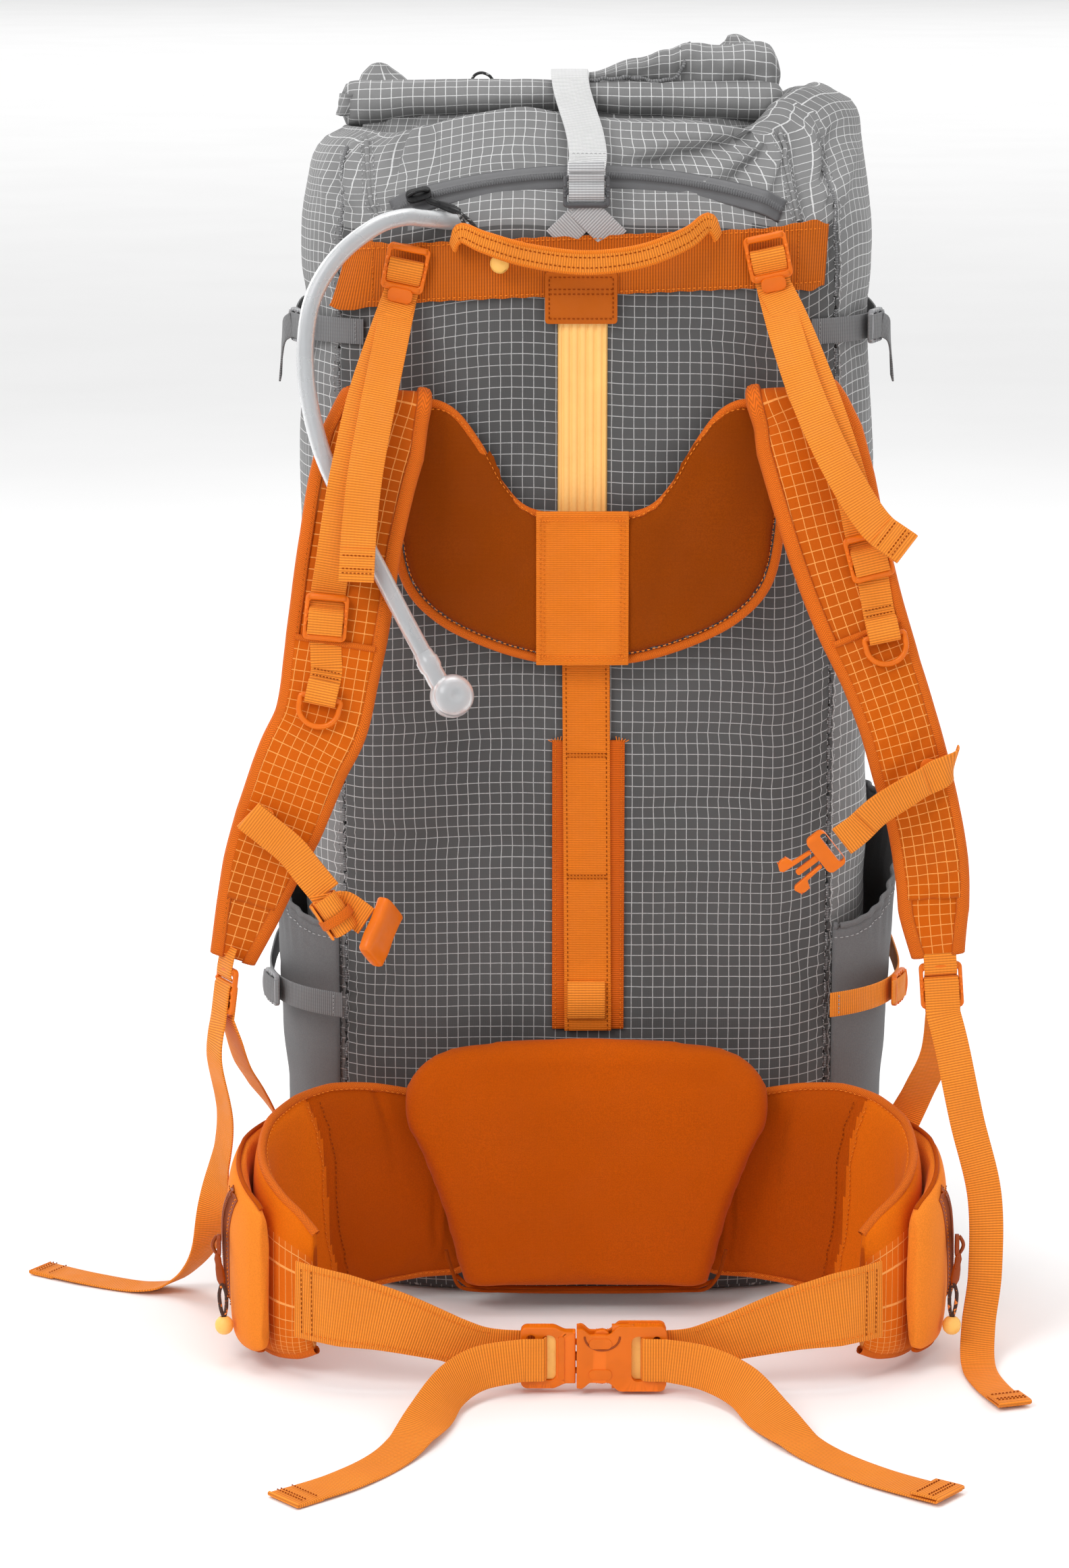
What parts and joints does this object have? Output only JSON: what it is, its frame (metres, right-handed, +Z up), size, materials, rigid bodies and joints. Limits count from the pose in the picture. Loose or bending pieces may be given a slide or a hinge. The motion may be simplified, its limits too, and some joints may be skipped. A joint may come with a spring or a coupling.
{
  "type": "hiking backpack",
  "caption": "Roll-top hiking backpack with an adjustable harness, padded hip belt, side pockets, compression straps, a zipped top and a drinking hose, standing upright.",
  "frame": {"origin": "Centre of the flat underside of the base, on the ground.", "axes": "+Z up; the harness side faces -Y; +X is to the right when looking at the harness."},
  "size_m": [0.592, 0.5852, 0.751],
  "materials": {
    "ripstop": "grey grid ripstop nylon, fine pale grid lines, matt",
    "stretch": "plain grey stretch woven fabric, matt",
    "webbing_orange": "ribbed orange polyester webbing",
    "webbing_grey": "ribbed light grey webbing",
    "strap_fabric": "orange grid ripstop over foam, herringbone binding",
    "yoke_lining": "dark brushed spacer lining over foam",
    "lumbar_lining": "rust brushed fabric over moulded foam",
    "wing_fabric": "orange laminated fabric over foam",
    "buckle_orange": "satin moulded acetal",
    "buckle_grey": "satin moulded acetal",
    "zip_hardware": "black coated metal with cord and bead",
    "frame_plastic": "extruded HDPE sheet",
    "stay": "drawn aluminium bar",
    "stay_sleeve": "ribbed moulded strip",
    "clear_tube": "clear soft polyurethane",
    "clear_valve": "clear soft silicone"
  },
  "bodies": {
    "root": {"back_panel": "ripstop", "front_panel": "ripstop", "side_panel_left": "ripstop", "side_panel_right": "ripstop", "base_panel": "ripstop", "top_panel": "ripstop", "collar": "ripstop", "side_pocket_left": "stretch", "side_pocket_right": "stretch", "yoke_band": "webbing_orange", "torso_backing_strip": "webbing_orange", "torso_webbing": "webbing_orange", "load_lifter_left": "webbing_orange", "load_lifter_right": "webbing_orange", "lower_webbing_left": "webbing_orange", "lower_webbing_right": "webbing_orange", "waist_webbing_left": "webbing_orange", "waist_webbing_right": "webbing_orange", "side_strap_lower_right": "webbing_orange", "top_strap": "webbing_grey", "side_strap_upper_left": "webbing_grey", "side_strap_upper_right": "webbing_grey", "side_strap_lower_left": "webbing_grey", "lumbar_pad": "lumbar_lining", "hip_wing_left": "wing_fabric", "hip_wing_right": "wing_fabric", "lifter_lock_left": "buckle_orange", "lifter_lock_right": "buckle_orange", "waist_buckle_female": "buckle_orange", "waist_buckle_male": "buckle_orange", "top_strap_adjuster": "buckle_grey", "frame_sheet": "frame_plastic", "frame_stay": "stay", "stay_strip": "stay_sleeve", "hydration_hose": "clear_tube", "hydration_reservoir": "clear_tube", "bite_valve": "clear_valve"},
    "harness": {"yoke_pad": "yoke_lining", "torso_sleeve": "webbing_orange", "shoulder_strap_left": "strap_fabric", "shoulder_strap_right": "strap_fabric", "strap_slide_left": "buckle_orange", "strap_slide_right": "buckle_orange", "strap_end_lock_left": "buckle_orange", "strap_end_lock_right": "buckle_orange"},
    "handle": {"haul_handle": "webbing_orange"},
    "roll": {"roll_top": "ripstop"},
    "zip_main": {"main_zip_slider": "zip_hardware"},
    "hip_zip_left": {"hip_zip_slider_left": "zip_hardware"},
    "hip_zip_right": {"hip_zip_slider_right": "zip_hardware"},
    "ring_left": {"d_ring_left": "buckle_orange"},
    "ring_right": {"d_ring_right": "buckle_orange"},
    "sternum_left": {"sternum_webbing_left": "webbing_orange", "sternum_female": "buckle_orange"},
    "sternum_right": {"sternum_webbing_right": "webbing_orange", "sternum_male": "buckle_orange"},
    "sternum_arm_upper": {"sternum_prong_upper": "buckle_orange"},
    "sternum_arm_lower": {"sternum_prong_lower": "buckle_orange"},
    "waist_arm_upper": {"waist_prong_upper": "buckle_orange"},
    "waist_arm_lower": {"waist_prong_lower": "buckle_orange"}
  },
  "joints": [
    {"name": "torso_adjust", "type": "slide", "parent": "root", "child": "harness", "axis": [0, 0, 1], "range_m": [-0.04, 0], "deforming": ["load_lifter_left", "load_lifter_right", "lower_webbing_left", "lower_webbing_right"]},
    {"name": "haul_handle_flip", "type": "hinge", "parent": "root", "child": "handle", "pos_m": [0, -0.1225, 0.66], "axis": [-1, 0, 0], "range_deg": [0, 150]},
    {"name": "roll_top_lift", "type": "slide", "parent": "root", "child": "roll", "axis": [0, 0, 1], "range_m": [0, 0.07], "deforming": ["collar", "top_strap"]},
    {"name": "main_zip_travel", "type": "hinge", "parent": "root", "child": "zip_main", "pos_m": [0, -0.27204, 0.41524], "axis": [0, 0.8191, -0.5736], "range_deg": [0, 9]},
    {"name": "hip_zip_left_travel", "type": "slide", "parent": "root", "child": "hip_zip_left", "axis": [0.171, -0.47, 0.866], "range_m": [0, 0.03]},
    {"name": "hip_zip_right_travel", "type": "slide", "parent": "root", "child": "hip_zip_right", "axis": [-0.171, -0.47, 0.866], "range_m": [0, 0.03]},
    {"name": "ring_left_swing", "type": "hinge", "parent": "harness", "child": "ring_left", "pos_m": [-0.15284, -0.20456, 0.38775], "axis": [-0.9781, 0.0289, 0.2059], "range_deg": [0, 75]},
    {"name": "ring_right_swing", "type": "hinge", "parent": "harness", "child": "ring_right", "pos_m": [0.16834, -0.19743, 0.42275], "axis": [-0.9781, -0.0289, -0.2059], "range_deg": [0, 75]},
    {"name": "sternum_left_height", "type": "slide", "parent": "harness", "child": "sternum_left", "axis": [0.3399, 0.12, 0.9328], "range_m": [-0.025, 0.03]},
    {"name": "sternum_right_height", "type": "slide", "parent": "harness", "child": "sternum_right", "axis": [-0.2579, 0.12, 0.9587], "range_m": [-0.03, 0.03]},
    {"name": "sternum_prong_upper_press", "type": "hinge", "parent": "sternum_right", "child": "sternum_arm_upper", "pos_m": [0.13179, -0.223, 0.29539], "axis": [0, 1, 0], "range_deg": [0, 6], "stiffness_Nm_per_rad": 0.15},
    {"name": "sternum_prong_lower_press", "type": "hinge", "parent": "sternum_right", "child": "sternum_arm_lower", "pos_m": [0.12748, -0.223, 0.30091], "axis": [0, 1, 0], "range_deg": [-6, 0], "stiffness_Nm_per_rad": 0.15},
    {"name": "waist_prong_upper_press", "type": "hinge", "parent": "root", "child": "waist_arm_upper", "pos_m": [-0.011, -0.285, 0.028], "axis": [0, 1, 0], "range_deg": [0, 6], "stiffness_Nm_per_rad": 0.3},
    {"name": "waist_prong_lower_press", "type": "hinge", "parent": "root", "child": "waist_arm_lower", "pos_m": [-0.011, -0.285, 0.015], "axis": [0, 1, 0], "range_deg": [-6, 0], "stiffness_Nm_per_rad": 0.3}
  ],
  "couplings": [
    {"joint": "sternum_prong_lower_press", "follows": "sternum_prong_upper_press", "ratio": -1},
    {"joint": "waist_prong_lower_press", "follows": "waist_prong_upper_press", "ratio": -1}
  ]
}
